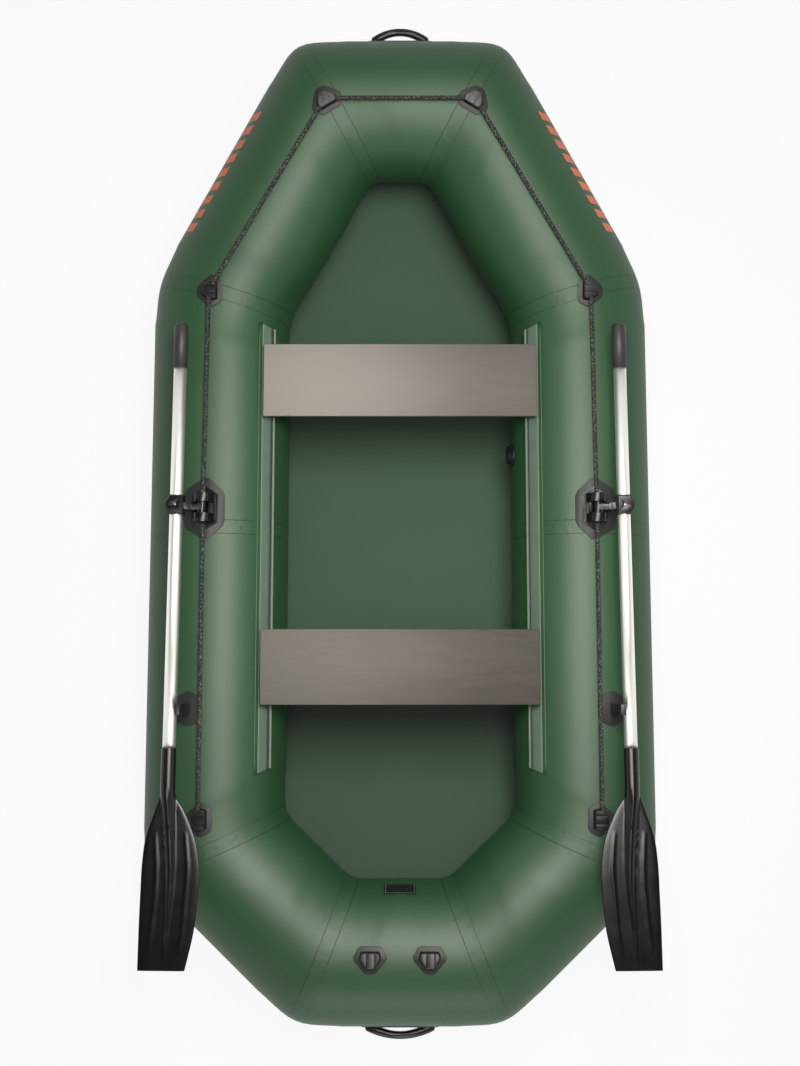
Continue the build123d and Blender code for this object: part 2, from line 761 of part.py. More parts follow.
bow_root = Plane(origin=(0, bow_y, axis_z + bow_rise), x_dir=(1, 0, 0), z_dir=bow_up)
stern_root = Plane(origin=(0, -bow_y, axis_z), x_dir=(-1, 0, 0), z_dir=(0, 0, 1))
handle_patches = []
for handle_name, plane, slope, width, slot_width, run_name in (
    ("bow_handle", bow_root, radians(bow_slope), bow_handle_width, bow_slot_width, "bow_tube"),
    ("stern_handle", stern_root, 0, stern_handle_width, stern_slot_width, "stern_tube"),
):
    with BuildPart() as handle:
        extrude(
            handle_section(plane, slope, width, slot_width),
            amount=handle_thickness / 2, both=True,
        )
        chamfer(handle.edges().filter_by(GeomType.CIRCLE), handle_ease)
        add(patch_cores[run_name], mode=Mode.SUBTRACT)
    save(handle, handle_name)
    patch_plane = Plane(
        origin=plane.from_local_coords((0, tube_radius, 0)),
        x_dir=plane.x_dir, z_dir=plane.y_dir,
    )
    with BuildSketch(patch_plane) as patch_outline:
        Rectangle(width + 2 * handle_patch_border, handle_patch_height)
        chamfer(patch_outline.vertices(), handle_patch_corner)
    handle_patches.append(glued_patch(patch_plane, patch_outline.sketch, [run_name]))
with BuildPart() as handle_patch_pair:
    for patch in handle_patches:
        add(patch.part)
save(handle_patch_pair, "handle_patches")


# Valves: a flange against the tube's inner wall, and a screw cap on it.
def valve(plane):
    """Inflation valve standing on a plane that touches the tube."""
    with BuildPart() as body:
        with BuildSketch(plane.offset(-valve_skirt)):
            Circle(valve_radius)
        extrude(amount=valve_skirt + valve_flange)
        with BuildSketch(plane.offset(valve_flange)):
            Circle(valve_cap_radius)
        extrude(amount=valve_height - valve_flange)
        add(glue_cores["side_starboard"], mode=Mode.SUBTRACT)
    return body


save(valve(tube_seat(valve_y, -valve_lean, patch_root)), "bow_chamber_valve")

starboard_valve = valve(tube_seat(second_valve_y, -valve_lean, patch_root))
with BuildPart() as stern_valve:
    mirror(starboard_valve.part, about=Plane.YZ)
save(stern_valve, "stern_chamber_valve")
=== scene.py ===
from math import ceil, cos, degrees, pi, radians, sin, sqrt

import bmesh
import bpy
from mathutils import Matrix, Vector


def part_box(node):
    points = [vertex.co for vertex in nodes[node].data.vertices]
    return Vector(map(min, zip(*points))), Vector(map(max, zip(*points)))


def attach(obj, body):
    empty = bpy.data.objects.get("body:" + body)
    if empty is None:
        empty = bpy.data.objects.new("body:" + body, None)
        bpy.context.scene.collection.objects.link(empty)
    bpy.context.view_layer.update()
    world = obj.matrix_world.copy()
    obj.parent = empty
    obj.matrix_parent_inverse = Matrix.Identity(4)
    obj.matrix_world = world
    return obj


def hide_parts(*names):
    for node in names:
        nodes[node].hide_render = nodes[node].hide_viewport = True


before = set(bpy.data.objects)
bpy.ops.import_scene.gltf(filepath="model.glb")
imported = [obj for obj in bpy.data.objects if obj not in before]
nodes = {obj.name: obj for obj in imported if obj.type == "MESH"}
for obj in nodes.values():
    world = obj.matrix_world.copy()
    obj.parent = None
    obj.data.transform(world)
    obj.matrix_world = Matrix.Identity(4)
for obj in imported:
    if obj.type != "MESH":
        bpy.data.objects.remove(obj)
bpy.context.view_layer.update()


# ------------------------------------------------------------ camera, lights and floor
# The boat lies on a plain white floor and is looked down on from above its middle. One
# softbox hangs over it, a little to starboard and tipped towards the stern, and a faint one
# stands low behind the stern. Two more only give the stern and the bow their wide sheen.
# The room is white at the sides and dim overhead.
camera = bpy.data.objects.new("camera", bpy.data.cameras.new("camera"))
camera.location = (0, -0.398, 3.541)
camera.rotation_euler = (radians(6.4), 0, 0)
camera.data.lens = 42.2
bpy.context.collection.objects.link(camera)
bpy.context.scene.camera = camera
bpy.context.scene.view_settings.view_transform = "Standard"


def paint(hex_colour):
    """An sRGB hex colour as linear RGBA."""
    channels = []
    for start in (1, 3, 5):
        value = int(hex_colour[start:start + 2], 16) / 255
        channels.append(value / 12.92 if value <= 0.04045 else ((value + 0.055) / 1.055) ** 2.4)
    return (*channels, 1)


def add_node(tree, kind, inputs=None, **settings):
    """Adds a node with its settings; an input is given a value, or a socket to link from."""
    node = tree.nodes.new(kind)
    for name, value in settings.items():
        setattr(node, name, value)
    for name, value in (inputs or {}).items():
        if isinstance(name, int):
            socket = node.inputs[name]
        else:
            socket = next(s for s in node.inputs if s.name == name and s.enabled)
        if isinstance(value, bpy.types.NodeSocket):
            tree.links.new(value, socket)
        else:
            socket.default_value = value
    return node


def new_material(name):
    """A new material, its node tree and its Principled shader."""
    material = bpy.data.materials.new(name)
    material.use_nodes = True
    return material, material.node_tree, material.node_tree.nodes["Principled BSDF"]


def seen_directly(tree):
    """1 for rays that show the background itself, straight or in a reflection."""
    path = add_node(tree, "ShaderNodeLightPath")
    either = add_node(tree, "ShaderNodeMath", {
        0: path.outputs["Is Camera Ray"], 1: path.outputs["Is Glossy Ray"],
    }, operation="MAXIMUM")
    return add_node(tree, "ShaderNodeMath", {
        0: either.outputs[0], 1: path.outputs["Is Transmission Ray"],
    }, operation="MAXIMUM").outputs[0]


ROOM_FILL = 0.09      # the even light from all sides
CEILING = 0.12        # how bright the ceiling looks where it is reflected
room = bpy.data.worlds.new("white_room")
room.use_nodes = True
room_tree = room.node_tree
room_tree.nodes.clear()
fill = add_node(room_tree, "ShaderNodeBackground", {
    "Color": paint("#F6F8FA"), "Strength": ROOM_FILL,
})
upward = add_node(room_tree, "ShaderNodeSeparateXYZ", {
    "Vector": add_node(room_tree, "ShaderNodeTexCoord").outputs["Generated"],
})
wall_to_ceiling = add_node(room_tree, "ShaderNodeMapRange", {
    "Value": upward.outputs["Z"], "From Min": 0.25, "From Max": 0.7, "To Min": 1, "To Max": CEILING,
})
shown = add_node(room_tree, "ShaderNodeBackground", {
    "Color": paint("#FFFFFF"), "Strength": wall_to_ceiling.outputs[0],
})
room_mix = add_node(room_tree, "ShaderNodeMixShader", {
    0: seen_directly(room_tree), 1: fill.outputs[0], 2: shown.outputs[0],
})
add_node(room_tree, "ShaderNodeOutputWorld", {"Surface": room_mix.outputs[0]})
bpy.context.scene.world = room


def hang_softbox(name, place, aim, size, watts, sheen_only=False):
    """A warm white softbox; one for sheen only shows in glossy surfaces and lights nothing."""
    lamp = bpy.data.objects.new(name, bpy.data.lights.new(name, "AREA"))
    lamp.data.shape = "RECTANGLE"
    lamp.data.size, lamp.data.size_y = size
    lamp.data.energy = watts
    lamp.data.color = (1, 0.97, 0.91)
    lamp.location = place
    lamp.rotation_euler = (Vector(aim) - Vector(place)).to_track_quat("-Z", "Y").to_euler()
    lamp.visible_camera = False
    lamp.visible_diffuse = not sheen_only
    bpy.context.collection.objects.link(lamp)


hang_softbox("key_softbox", (0.26, 0.40, 2.55), aim=(-0.05, -0.75, 0.2), size=(0.95, 1.2), watts=58)
hang_softbox("back_softbox", (0.1, -2.5, 0.9), aim=(0, -1.2, 0.2), size=(1.6, 0.6), watts=9)
hang_softbox("stern_sheen", (0.15, -0.55, 2.4), aim=(0.1, -1.0, 0.3), size=(1.4, 0.9), watts=44,
             sheen_only=True)
hang_softbox("bow_sheen", (0.1, 1.5, 2.6), aim=(0.0, 1.0, 0.4), size=(1.3, 1.2), watts=22,
             sheen_only=True)

FLOOR_HALF = 60       # so wide that its edge shows in no view
PAPER_GLOW = 0.92     # the share of its own light where the paper is seen directly
floor_bm = bmesh.new()
bmesh.ops.create_grid(floor_bm, x_segments=1, y_segments=1, size=FLOOR_HALF)
floor_mesh = bpy.data.meshes.new("studio_floor")
floor_bm.to_mesh(floor_mesh)
floor = bpy.data.objects.new("studio_floor", floor_mesh)
bpy.context.collection.objects.link(floor)
backdrop = bpy.data.materials.new("white_backdrop_paper")
backdrop.use_nodes = True
backdrop.node_tree.nodes.clear()
paper = add_node(backdrop.node_tree, "ShaderNodeBsdfDiffuse", {"Color": paint("#F2F2F0")})
bright = add_node(backdrop.node_tree, "ShaderNodeEmission", {
    "Color": paint("#FFFFFF"), "Strength": 1,
})
share = add_node(backdrop.node_tree, "ShaderNodeMath", {
    0: seen_directly(backdrop.node_tree), 1: PAPER_GLOW,
}, operation="MULTIPLY")
paper_mix = add_node(backdrop.node_tree, "ShaderNodeMixShader", {
    0: share.outputs[0], 1: paper.outputs[0], 2: bright.outputs[0],
})
add_node(backdrop.node_tree, "ShaderNodeOutputMaterial", {"Surface": paper_mix.outputs[0]})
floor.data.materials.append(backdrop)


# ------------------------------------------------------------ hull tubes
# One ring of coated fabric tube, 368 mm across, cut and glued at eight mitred corners
# and at a baffle in each side. A 35 mm tape covers each seam from outside, and the
# fabric's pull rounds the outside of every corner.
TUBE = 0.184                                    # radius
SIDE_X, STERN_Y, BOW_Y = 0.486, -1.116, 1.116   # axes of the side, stern and bow tubes
LEVEL_Z, BOW_Z = 0.186, 0.286                   # their height, level and at the raised bow
STERN_TURN_X, AFT_TURN_Y, FORE_TURN_Y, BOW_TURN_X = 0.200, -0.842, 0.614, 0.180
BAFFLE_Y = -0.025
tube_axis = [Vector(p) for p in (
    (0, STERN_Y, LEVEL_Z), (STERN_TURN_X, STERN_Y, LEVEL_Z), (SIDE_X, AFT_TURN_Y, LEVEL_Z),
    (SIDE_X, BAFFLE_Y, LEVEL_Z), (SIDE_X, FORE_TURN_Y, LEVEL_Z), (BOW_TURN_X, BOW_Y, BOW_Z),
    (0, BOW_Y, BOW_Z),
)]
SEAM_TAPE = 0.035
TAPE_EDGE = 0.0006
SECTION_SIDES = 80
LOOP_SPACING = 0.016
ROUNDING = {1: 16, 2: 16, 4: 30, 5: 14}         # passes of smoothing at each corner
ROUNDED_RUN = 0.11                              # how far from the mitre the smoothing reaches
CORNER_REACH = 0.32                             # a vertex further off belongs to another corner


def slide_to(vert, along, place, facing):
    """Moves a vertex along a line until it meets a plane."""
    vert.co += along * ((place - vert.co).dot(facing) / along.dot(facing))


def new_verts(result):
    return [v for v in result["geom"] if isinstance(v, bmesh.types.BMVert)]


def finish_mesh(bm, name):
    """Writes a bmesh to a new object at the origin."""
    mesh = bpy.data.meshes.new(name)
    bm.to_mesh(mesh)
    bm.free()
    for face in mesh.polygons:
        face.use_smooth = True
    piece = bpy.data.objects.new(name, mesh)
    bpy.context.collection.objects.link(piece)
    return piece


hull_bm = bmesh.new()
bmesh.ops.create_circle(
    hull_bm, segments=SECTION_SIDES, radius=TUBE,
    matrix=Matrix.Translation(tube_axis[0]) @ Matrix.Rotation(pi / 2, 4, "Y"),
)
seams = []
rim = hull_bm.edges[:]
for step in range(1, len(tube_axis)):
    here, there = tube_axis[step - 1], tube_axis[step]
    along = (there - here).normalized()
    beyond = tube_axis[step + 1] if step + 1 < len(tube_axis) else there + Vector((-1, 0, 0))
    facing = (along + (beyond - there).normalized()).normalized()
    made = bmesh.ops.extrude_edge_only(hull_bm, edges=rim)
    moved = new_verts(made)
    far = set(moved)
    for vert in moved:
        slide_to(vert, along, there, facing)
    rim = [
        e for e in made["geom"]
        if isinstance(e, bmesh.types.BMEdge) and all(v in far for v in e.verts)
    ]
    sides = [e for v in moved for e in v.link_edges if not all(w in far for w in e.verts)]
    bmesh.ops.subdivide_edges(
        hull_bm, edges=sides, cuts=ceil((there - here).length / LOOP_SPACING) - 1,
        use_grid_fill=True,
    )
    if step < len(tube_axis) - 1:
        seams.append((step, there, facing))

seam_layer = hull_bm.verts.layers.float.new("seam")
for vert in hull_bm.verts:
    vert[seam_layer] = min(
        abs((vert.co - place).dot(facing))
        if (vert.co - place).length < CORNER_REACH else CORNER_REACH
        for _, place, facing in seams
    )
bmesh.ops.mirror(
    hull_bm, geom=hull_bm.verts[:] + hull_bm.edges[:] + hull_bm.faces[:], axis="X", merge_dist=1e-5,
)
for step, place, facing in seams:
    for side in (1, -1):
        corner, plane = (Vector((v.x * side, v.y, v.z)) for v in (place, facing))
        near = [
            v for v in hull_bm.verts
            if abs((v.co - corner).dot(plane)) < ROUNDED_RUN
            and (v.co - corner).length < CORNER_REACH
        ]
        for _ in range(ROUNDING.get(step, 0)):
            bmesh.ops.smooth_vert(
                hull_bm, verts=near, factor=0.5, use_axis_x=True, use_axis_y=True, use_axis_z=True,
            )
bmesh.ops.recalc_face_normals(hull_bm, faces=hull_bm.faces)
hull = finish_mesh(hull_bm, "hull_tubes")
chambers = ("bow_quarter", "bow_tube", "side_", "stern_quarter", "stern_tube")
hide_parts(*[n for n in nodes if n.startswith(chambers)])
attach(hull, "hull")


def coated_fabric(name, colour, sheen_colour, roughness, taped):
    """PVC-coated polyester: a smooth calendered skin, satin, with the weave just felt."""
    material, tree, skin = new_material(name)
    skin.inputs["Roughness"].default_value = roughness
    skin.inputs["IOR"].default_value = 1.5
    place = add_node(tree, "ShaderNodeTexCoord").outputs["Object"]
    # Broad, faint unevenness of the coating, in patches of about 200 mm.
    patches = add_node(tree, "ShaderNodeTexNoise", {"Vector": place, "Scale": 5, "Detail": 3})
    tone = add_node(tree, "ShaderNodeMix", {
        "Factor": patches.outputs["Fac"], "A": colour, "B": sheen_colour,
    }, data_type="RGBA")
    base = tone.outputs[2]
    # The real thread spacing is 0.5 mm; 2 mm is the finest that shows.
    weave = add_node(tree, "ShaderNodeTexNoise", {"Vector": place, "Scale": 500, "Detail": 1})
    bump = add_node(tree, "ShaderNodeBump", {
        "Height": weave.outputs["Fac"], "Strength": 0.12, "Distance": 0.0004,
    })
    normal = bump.outputs["Normal"]
    if taped:
        seam = add_node(tree, "ShaderNodeAttribute", attribute_name="seam").outputs["Fac"]
        edge = add_node(tree, "ShaderNodeMapRange", {
            "Value": seam, "From Min": SEAM_TAPE / 2 - TAPE_EDGE,
            "From Max": SEAM_TAPE / 2 + TAPE_EDGE, "To Min": 1, "To Max": 0,
        })
        # Radial puckers where the fabric is drawn in at a seam, 25 mm apart.
        pull = add_node(tree, "ShaderNodeMapRange", {
            "Value": seam, "From Min": 0.0, "From Max": 0.06, "To Min": 1, "To Max": 0,
        }, interpolation_type="SMOOTHSTEP")
        pucker = add_node(tree, "ShaderNodeTexNoise", {"Vector": place, "Scale": 38, "Detail": 1})
        drawn = add_node(tree, "ShaderNodeMath", {
            0: pull.outputs[0], 1: pucker.outputs["Fac"],
        }, operation="MULTIPLY")
        step_bump = add_node(tree, "ShaderNodeBump", {
            "Height": edge.outputs[0], "Normal": normal, "Strength": 1, "Distance": 0.0006,
        })
        pull_bump = add_node(tree, "ShaderNodeBump", {
            "Height": drawn.outputs[0], "Normal": step_bump.outputs[0], "Strength": 0.5,
            "Distance": 0.003,
        })
        # Crinkles of about 6 mm, in the 24 mm on either side of the side tubes' baffle.
        forward = add_node(tree, "ShaderNodeSeparateXYZ", {"Vector": place}).outputs["Y"]
        from_baffle = add_node(tree, "ShaderNodeMath", {0: forward, 1: -BAFFLE_Y}, operation="ADD")
        band = add_node(tree, "ShaderNodeMapRange", {
            "Value": add_node(tree, "ShaderNodeMath", {
                0: from_baffle.outputs[0],
            }, operation="ABSOLUTE").outputs[0],
            "From Min": 0.006, "From Max": 0.024, "To Min": 1, "To Max": 0,
        })
        crinkle = add_node(tree, "ShaderNodeTexNoise", {"Vector": place, "Scale": 160, "Detail": 1})
        gathered = add_node(tree, "ShaderNodeMath", {
            0: band.outputs[0], 1: crinkle.outputs["Fac"],
        }, operation="MULTIPLY")
        crinkle_bump = add_node(tree, "ShaderNodeBump", {
            "Height": gathered.outputs[0], "Normal": pull_bump.outputs["Normal"], "Strength": 0.35,
            "Distance": 0.002,
        })
        normal = crinkle_bump.outputs["Normal"]
        # A thin dark line is drawn along each of the tape's edges.
        off = add_node(tree, "ShaderNodeMath", {0: seam, 1: SEAM_TAPE / 2}, operation="SUBTRACT")
        away = add_node(tree, "ShaderNodeMath", {0: off.outputs[0]}, operation="ABSOLUTE")
        line = add_node(tree, "ShaderNodeMapRange", {
            "Value": away.outputs[0], "From Min": 0.0006, "From Max": 0.0017, "To Min": 0.85,
            "To Max": 0,
        })
        dark = add_node(tree, "ShaderNodeMix", {
            "Factor": line.outputs[0], "A": base, "B": paint("#1E2B20"),
        }, data_type="RGBA")
        base = dark.outputs[2]
    tree.links.new(base, skin.inputs["Base Color"])
    tree.links.new(normal, skin.inputs["Normal"])
    return material


hull_skin = coated_fabric(
    "pvc_coated_fabric_green", paint("#214B2B"), paint("#285331"), roughness=0.52, taped=True,
)
hull.data.materials.append(hull_skin)


# ------------------------------------------------------------ bow quarter seams and marks
# A lengthwise seam runs along the outer side of each bow quarter. Above it lie printed
# bars of orange vinyl ink, plain and generic.
def laid_on_tube(start, end, along, leaning, lift, rows=1, columns=8, slant=0):
    """A thin sheet on a run of tube: metres along it, degrees up from level on its outer side."""
    run = (end - start).normalized()
    out = run.cross(Vector((0, 0, 1))).normalized()
    if out.dot(start + end - Vector((0, 0, 2 * start.z))) < 0:
        out = -out
    up = run.cross(out)
    if up.z < 0:
        up = -up
    bm = bmesh.new()
    bmesh.ops.create_grid(bm, x_segments=rows, y_segments=columns, size=0.5)
    for vert in bm.verts:
        share = vert.co.y + 0.5
        lean = radians(leaning[0] + (leaning[1] - leaning[0]) * share)
        reach = along[0] + (along[1] - along[0]) * (vert.co.x + 0.5) + slant * (share - 0.5)
        vert.co = start + run * reach + (out * cos(lean) + up * sin(lean)) * (TUBE + lift)
    for face in bm.faces:
        face.normal_update()
        middle = face.calc_center_median()
        axis_point = start + run * (middle - start).dot(run)
        if face.normal.dot(middle - axis_point) < 0:
            face.normal_flip()
    return bm


def merge_into(target, source):
    """Adds one bmesh to another."""
    held = bpy.data.meshes.new("held")
    source.to_mesh(held)
    source.free()
    target.from_mesh(held)
    bpy.data.meshes.remove(held)


def printed_ink(name, colour, worn, roughness):
    """Screen-printed vinyl ink: dense, a little matt, thinner where the weave stands up."""
    material, tree, ink = new_material(name)
    ink.inputs["Roughness"].default_value = roughness
    place = add_node(tree, "ShaderNodeTexCoord").outputs["Object"]
    thin = add_node(tree, "ShaderNodeTexNoise", {"Vector": place, "Scale": 90, "Detail": 3})
    share = add_node(tree, "ShaderNodeMapRange", {
        "Value": thin.outputs["Fac"], "From Min": 0.45, "From Max": 0.75,
    })
    tone = add_node(tree, "ShaderNodeMix", {
        "Factor": share.outputs[0], "A": colour, "B": worn,
    }, data_type="RGBA")
    weave = add_node(tree, "ShaderNodeTexNoise", {"Vector": place, "Scale": 500, "Detail": 1})
    bump = add_node(tree, "ShaderNodeBump", {
        "Height": weave.outputs["Fac"], "Strength": 0.2, "Distance": 0.0003,
    })
    tree.links.new(tone.outputs[2], ink.inputs["Base Color"])
    tree.links.new(bump.outputs["Normal"], ink.inputs["Normal"])
    return material


def turned_inward(bm, axis, middle):
    """Turns a sheet from a tube's outer side to its inner side; axis is 0 for X and 1 for Y."""
    for vert in bm.verts:
        vert.co[axis] = 2 * middle - vert.co[axis]
    bmesh.ops.reverse_faces(bm, faces=bm.faces)
    return bm


BAR = 0.026
BAR_GAP = 0.016
BAR_COUNT = 9
BAR_SLANT = 0.016
BAR_LEANING = (26, 43)
FIRST_BAR = 0.115
SEAM_RUN = (0.03, 0.57)
SEAM_LEANING = (21.6, 22.2)
INK_LIFT = 0.0004
orange_ink = printed_ink("orange_vinyl_ink", paint("#FF8458"), paint("#FA8C66"), roughness=0.55)
glue_line = printed_ink("glue_line_dark_green", paint("#152A1B"), paint("#1C3323"), roughness=0.6)
marks_bm = bmesh.new()
lines_bm = bmesh.new()
for side in (1, -1):
    low, high = (Vector((p.x * side, p.y, p.z)) for p in (tube_axis[4], tube_axis[5]))
    for bar in range(BAR_COUNT):
        begin = FIRST_BAR + bar * (BAR + BAR_GAP)
        merge_into(marks_bm, laid_on_tube(
            low, high, (begin, begin + BAR), BAR_LEANING, INK_LIFT, slant=BAR_SLANT))
    merge_into(lines_bm, laid_on_tube(
        low, high, SEAM_RUN, SEAM_LEANING, INK_LIFT, rows=24, columns=2))
marks = finish_mesh(marks_bm, "bow_quarter_bars")
marks.data.materials.append(orange_ink)
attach(marks, "hull")
seam_lines = finish_mesh(lines_bm, "bow_quarter_seam_lines")
seam_lines.data.materials.append(glue_line)
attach(seam_lines, "hull")

# A blank black plate with a grey border is glued inside the stern tube.
PLATE_RUN = (0.159, 0.241)
PLATE_LEANING = (15, 30)
stern_start, stern_end = (Vector((x, STERN_Y, LEVEL_Z)) for x in (STERN_TURN_X, -STERN_TURN_X))
plate_black = printed_ink(
    "blank_vinyl_plate_black", paint("#151718"), paint("#1F2223"), roughness=0.4,
)
plate_grey = printed_ink(
    "blank_vinyl_plate_border", paint("#6C7370"), paint("#5A615E"), roughness=0.5,
)
for name, inset, lift, ink in (
    ("label_back", 0, 0.0006, plate_black),
    ("label_border", 0.003, 0.0009, plate_grey),
    ("label_face", 0.0048, 0.0012, plate_black),
):
    lean = degrees(inset / TUBE)
    plate = finish_mesh(turned_inward(laid_on_tube(
        stern_start, stern_end, (PLATE_RUN[0] + inset, PLATE_RUN[1] - inset),
        (PLATE_LEANING[0] + lean, PLATE_LEANING[1] - lean), lift,
    ), 1, stern_start.y), name)
    plate.data.materials.append(ink)
    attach(plate, "hull")


# ------------------------------------------------------------ bottom
# A sheet of the same coated fabric, glued under the tubes. It lies level and climbs
# with the tubes towards the bow.
SHEET = 0.002
LAP = 0.025
CLIMB = 100 / 502                       # 11.3 degrees
BEND_Y = FORE_TURN_Y + TUBE * 0.0987    # by the tangent of half the climb
FORE_REACH = 0.036                      # the raised tube touches the sheet ahead of its axis
SWELL, SWELL_HALF_WIDTH = 0.0025, 0.3
outline = [
    (STERN_TURN_X, STERN_Y), (SIDE_X, AFT_TURN_Y), (SIDE_X, BEND_Y),
    (BOW_TURN_X, BOW_Y + FORE_REACH),
]
sheet_bm = bmesh.new()
bmesh.ops.create_grid(
    sheet_bm, x_segments=44, y_segments=96, size=1, matrix=Matrix.Diagonal((0.52, 1.2, 1, 1)),
)
corners = outline + [(-x, y) for x, y in reversed(outline)]
for first, second in zip(corners, corners[1:] + corners[:1]):
    side = Vector((second[0] - first[0], second[1] - first[1], 0)).normalized()
    outward = Vector((side.y, -side.x, 0))
    bmesh.ops.bisect_plane(
        sheet_bm, geom=sheet_bm.verts[:] + sheet_bm.edges[:] + sheet_bm.faces[:],
        plane_co=Vector((*first, 0)) + outward * LAP, plane_no=outward, clear_outer=True,
    )
for vert in sheet_bm.verts:
    x, y = vert.co.x, vert.co.y
    rounded = max(0, cos(x / SWELL_HALF_WIDTH * pi / 2)) if abs(x) < SWELL_HALF_WIDTH else 0
    swell = SWELL * rounded * (1 + sin(y * 9.1) * 0.35 + sin(y * 4.3 + x * 6) * 0.35)
    vert.co.z = SHEET / 2 + max(0, y - BEND_Y) * CLIMB + swell
bent = [v for v in sheet_bm.verts if abs(v.co.y - BEND_Y) < 0.05]
for _ in range(4):
    bmesh.ops.smooth_vert(sheet_bm, verts=bent, factor=0.5, use_axis_z=True)
bmesh.ops.recalc_face_normals(sheet_bm, faces=sheet_bm.faces)
bottom = finish_mesh(sheet_bm, "bottom_fabric")
thickness = bottom.modifiers.new("thickness", "SOLIDIFY")
thickness.thickness = SHEET
thickness.offset = 0
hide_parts("bottom_sheet", "bow_sheet")
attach(bottom, "hull")
# The sheet is the tubes' fabric, but its colour is painted paler and greyer: painted light in place
# of the lamp's sheen on the level sheet.
bottom_skin_painted_paler = coated_fabric(
    "pvc_coated_fabric_bottom_painted_paler", paint("#385640"), paint("#3D5B45"), roughness=0.85, taped=False,
)
bottom.data.materials.append(bottom_skin_painted_paler)


# ------------------------------------------------------------ seat rails and runners
# Each rail is one extruded strip of soft vinyl, glued along the side tube, with a round
# channel. The seat's runner is a harder vinyl strip whose bead slides in the channel.
def moulded(name, colour, worn, roughness, grain, depth, ior=1.5):
    """Moulded or extruded plastic or rubber: a fine grain, and worn, paler patches."""
    material, tree, skin = new_material(name)
    skin.inputs["IOR"].default_value = ior
    place = add_node(tree, "ShaderNodeTexCoord").outputs["Object"]
    clouds = add_node(tree, "ShaderNodeTexNoise", {"Vector": place, "Scale": 28, "Detail": 4})
    tone = add_node(tree, "ShaderNodeMix", {
        "Factor": clouds.outputs["Fac"], "A": colour, "B": worn,
    }, data_type="RGBA")
    polish = add_node(tree, "ShaderNodeMapRange", {
        "Value": clouds.outputs["Fac"], "To Min": roughness - 0.05, "To Max": roughness + 0.08,
    })
    specks = add_node(tree, "ShaderNodeTexNoise", {"Vector": place, "Scale": grain, "Detail": 2})
    bump = add_node(tree, "ShaderNodeBump", {
        "Height": specks.outputs["Fac"], "Strength": 0.3, "Distance": depth,
    })
    tree.links.new(tone.outputs[2], skin.inputs["Base Color"])
    tree.links.new(polish.outputs[0], skin.inputs["Roughness"])
    tree.links.new(bump.outputs["Normal"], skin.inputs["Normal"])
    return material


def ease_edges(piece, width, segments=3):
    """Rounds a piece's sharp edges."""
    eased = piece.modifiers.new("eased", "BEVEL")
    eased.width = width
    eased.segments = segments
    eased.limit_method = "ANGLE"
    eased.angle_limit = radians(38)
    eased.harden_normals = True


def solid_mesh(node_name):
    """A CAD node's mesh, with its corners joined and its flat faces made whole."""
    bm = bmesh.new()
    bm.from_mesh(nodes[node_name].data)
    bmesh.ops.remove_doubles(bm, verts=bm.verts, dist=1e-5)
    bmesh.ops.dissolve_limit(bm, angle_limit=radians(0.5), verts=bm.verts, edges=bm.edges)
    return bm


def both_sides(*names):
    return [f"{name}_{side}" for name in names for side in ("port", "starboard")]


def clothe(node_names, material, bevel=0):
    """Gives CAD nodes a material, shades them smooth, and eases their sharp edges."""
    for name in node_names:
        piece = nodes[name]
        piece.data.materials.clear()
        piece.data.materials.append(material)
        for face in piece.data.polygons:
            face.use_smooth = True
        weld = piece.modifiers.new("weld", "WELD")
        weld.merge_threshold = 1e-5
        flat = piece.modifiers.new("flat", "DECIMATE")
        flat.decimate_type = "DISSOLVE"
        flat.angle_limit = radians(0.5)
        if bevel:
            ease_edges(piece, bevel)


# A rail's ends are cut on the slant, so that the outboard edge is the longer one, and a
# flap of hull fabric laps over that edge. Painted shade darkens the slot, and painted
# highlights brighten the lip and the outboard edge.
CHANNEL_X = 0.3356
RAIL_OUTER_X = 0.3613
END_SLANT = 0.38
FLAP_LEANING = (47.4, 51.2)
FLAP_OVERHANG = 0.004
FLAP_LIFT, FLAP_THICKNESS = 0.0008, 0.0007
LIP_X = 0.320
SOFT_EDGE = 0.0004
rail_vinyl = moulded(
    "extruded_vinyl_green", paint("#5F7566"), paint("#6B8271"), roughness=0.42, grain=900,
    depth=0.0002,
)
rail_tree = rail_vinyl.node_tree
rail_skin = rail_tree.nodes["Principled BSDF"]
rail_tone_with_painted_light = rail_skin.inputs["Base Color"].links[0].from_socket
rail_place = add_node(rail_tree, "ShaderNodeTexCoord").outputs["Object"]
off_middle = add_node(rail_tree, "ShaderNodeMath", {
    0: add_node(rail_tree, "ShaderNodeSeparateXYZ", {"Vector": rail_place}).outputs["X"],
}, operation="ABSOLUTE").outputs[0]
# Painted highlight on the lip, painted shade in the slot, painted highlight along the outboard
# edge.
for start, stop, share, shade in (
    (LIP_X, CHANNEL_X - 0.0028, 0.85, paint("#93A890")),
    (CHANNEL_X - 0.0026, CHANNEL_X + 0.0034, 0.85, paint("#10261A")),
    (RAIL_OUTER_X - 0.0022, RAIL_OUTER_X + 0.002, 0.8, paint("#8CA08A")),
):
    half = (stop - start) / 2
    middle = add_node(rail_tree, "ShaderNodeMath", {
        0: off_middle, 1: (start + stop) / 2,
    }, operation="SUBTRACT")
    away = add_node(rail_tree, "ShaderNodeMath", {0: middle.outputs[0]}, operation="ABSOLUTE")
    inside = add_node(rail_tree, "ShaderNodeMapRange", {
        "Value": away.outputs[0], "From Min": half - SOFT_EDGE, "From Max": half + SOFT_EDGE,
        "To Min": share, "To Max": 0,
    })
    rail_tone_with_painted_light = add_node(rail_tree, "ShaderNodeMix", {
        "Factor": inside.outputs[0], "A": rail_tone_with_painted_light, "B": shade,
    }, data_type="RGBA").outputs[2]
rail_tree.links.new(rail_tone_with_painted_light, rail_skin.inputs["Base Color"])
flap_fabric = coated_fabric(
    "pvc_coated_fabric_flap", paint("#234A2C"), paint("#2B5235"), roughness=0.5, taped=False,
)
